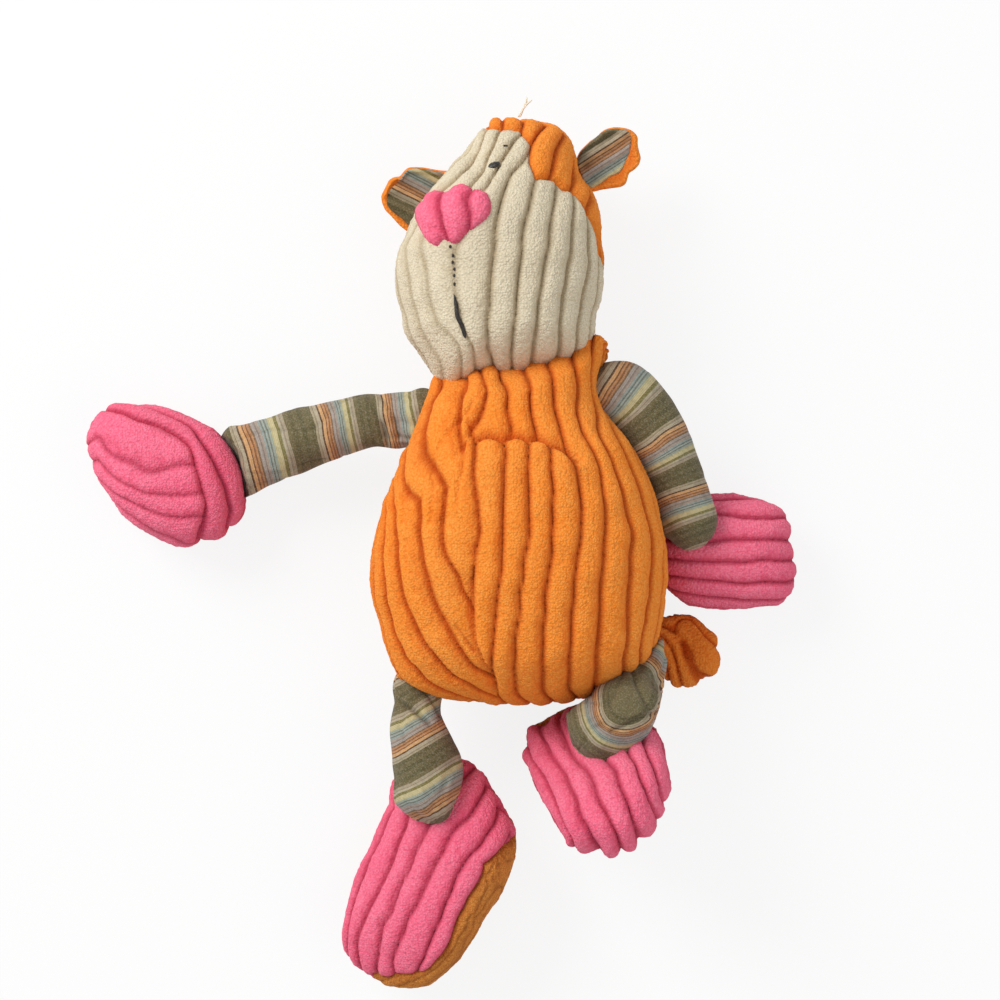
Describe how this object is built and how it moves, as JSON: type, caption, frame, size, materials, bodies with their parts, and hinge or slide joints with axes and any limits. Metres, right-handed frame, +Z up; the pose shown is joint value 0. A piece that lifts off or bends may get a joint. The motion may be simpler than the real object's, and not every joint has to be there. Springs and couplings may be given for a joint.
{
  "type": "plush monkey",
  "caption": "Soft stuffed monkey toy in wide-wale plush with striped jersey limbs, lying on its back, its limbs, head, ears and tail bending at their sewn seams.",
  "frame": {"origin": "on the surface that the toy lies on, under the middle of its body", "axes": "+Y towards the head, +X to the monkey's left, +Z up out of its chest"},
  "size_m": [0.3159, 0.3923, 0.0944],
  "materials": {
    "orange_plush": "wide-wale plush with a short dense nap",
    "cream_plush": "wide-wale plush with a short dense nap",
    "pink_plush": "wide-wale plush with a short dense nap",
    "sole_plush": "short flat plush",
    "striped_jersey": "fine knit with lengthwise stripes",
    "black_thread": "satin stitches",
    "cream_thread": "frayed twisted thread",
    "fibre_fill": "loose polyester fibre"
  },
  "bodies": {
    "body": {"body_front_panel": "orange_plush", "body_back_panel": "orange_plush", "body_stuffing": "fibre_fill"},
    "head": {"face_panel": "cream_plush", "hood_panel": "orange_plush", "head_stuffing": "fibre_fill", "nose_patch": "pink_plush", "left_eye": "black_thread", "right_eye": "black_thread", "left_brow": "black_thread", "right_brow": "black_thread", "mouth_stitch": "black_thread", "crown_thread": "cream_thread"},
    "left_ear": {"left_ear_back": "orange_plush", "left_ear_lining": "striped_jersey"},
    "right_ear": {"right_ear_back": "orange_plush", "right_ear_lining": "striped_jersey"},
    "right_arm": {"right_arm_sleeve": "striped_jersey", "right_arm_stuffing": "fibre_fill"},
    "right_hand": {"right_hand_palm": "pink_plush", "right_hand_back": "pink_plush", "right_hand_stuffing": "fibre_fill"},
    "left_arm": {"left_arm_sleeve": "striped_jersey", "left_arm_stuffing": "fibre_fill"},
    "left_hand": {"left_hand_back": "pink_plush", "left_hand_palm": "pink_plush", "left_hand_stuffing": "fibre_fill"},
    "right_leg": {"right_leg_sleeve": "striped_jersey", "right_leg_stuffing": "fibre_fill"},
    "right_foot": {"right_foot_upper": "pink_plush", "right_foot_sole": "sole_plush", "right_foot_stuffing": "fibre_fill"},
    "left_leg": {"left_leg_sleeve": "striped_jersey", "left_leg_stuffing": "fibre_fill"},
    "left_foot": {"left_foot_upper": "pink_plush", "left_foot_sole": "sole_plush", "left_foot_stuffing": "fibre_fill"},
    "tail": {"tail_cover": "orange_plush", "tail_stuffing": "fibre_fill"}
  },
  "joints": [
    {"name": "neck_turn", "type": "hinge", "parent": "body", "child": "head", "pos_m": [-0.009, 0.073, 0.0425], "axis": [0, 1, 0], "range_deg": [-30, 30]},
    {"name": "left_ear_fold", "type": "hinge", "parent": "head", "child": "left_ear", "pos_m": [0.03066, 0.16747, 0.0365], "axis": [-0.2696, 0.963, 0], "range_deg": [-25, 25], "stiffness_Nm_per_rad": 0.005},
    {"name": "right_ear_fold", "type": "hinge", "parent": "head", "child": "right_ear", "pos_m": [-0.03895, 0.14999, 0.0165], "axis": [-0.1961, -0.9806, 0], "range_deg": [-25, 25], "stiffness_Nm_per_rad": 0.005},
    {"name": "right_shoulder", "type": "hinge", "parent": "body", "child": "right_arm", "pos_m": [-0.04353, 0.055, 0.042], "axis": [0, 0, 1], "range_deg": [-40, 35]},
    {"name": "right_wrist", "type": "hinge", "parent": "right_arm", "child": "right_hand", "pos_m": [-0.11787, 0.03635, 0.02031], "axis": [0, 1, 0], "range_deg": [0, 50]},
    {"name": "left_shoulder", "type": "hinge", "parent": "body", "child": "left_arm", "pos_m": [0.03836, 0.065, 0.042], "axis": [0, 0, 1], "range_deg": [0, 40]},
    {"name": "left_wrist", "type": "hinge", "parent": "left_arm", "child": "left_hand", "pos_m": [0.0749, 0.00928, 0.03816], "axis": [0, -1, 0], "range_deg": [0, 45]},
    {"name": "right_hip", "type": "hinge", "parent": "body", "child": "right_leg", "pos_m": [-0.043, -0.06298, 0.034], "axis": [0, 0, -1], "range_deg": [0, 35]},
    {"name": "right_ankle", "type": "hinge", "parent": "right_leg", "child": "right_foot", "pos_m": [-0.03794, -0.10814, 0.04519], "axis": [-1, 0, 0], "range_deg": [0, 35]},
    {"name": "left_hip", "type": "hinge", "parent": "body", "child": "left_leg", "pos_m": [0.05379, -0.05747, 0.044], "axis": [0, 0, 1], "range_deg": [0, 30]},
    {"name": "left_ankle", "type": "hinge", "parent": "left_leg", "child": "left_foot", "pos_m": [0.0328, -0.08351, 0.06435], "axis": [-1, 0, 0], "range_deg": [0, 20]},
    {"name": "tail_root", "type": "hinge", "parent": "body", "child": "tail", "pos_m": [0.04552, -0.04676, 0.01248], "axis": [0, 0, 1], "range_deg": [-20, 0]}
  ]
}
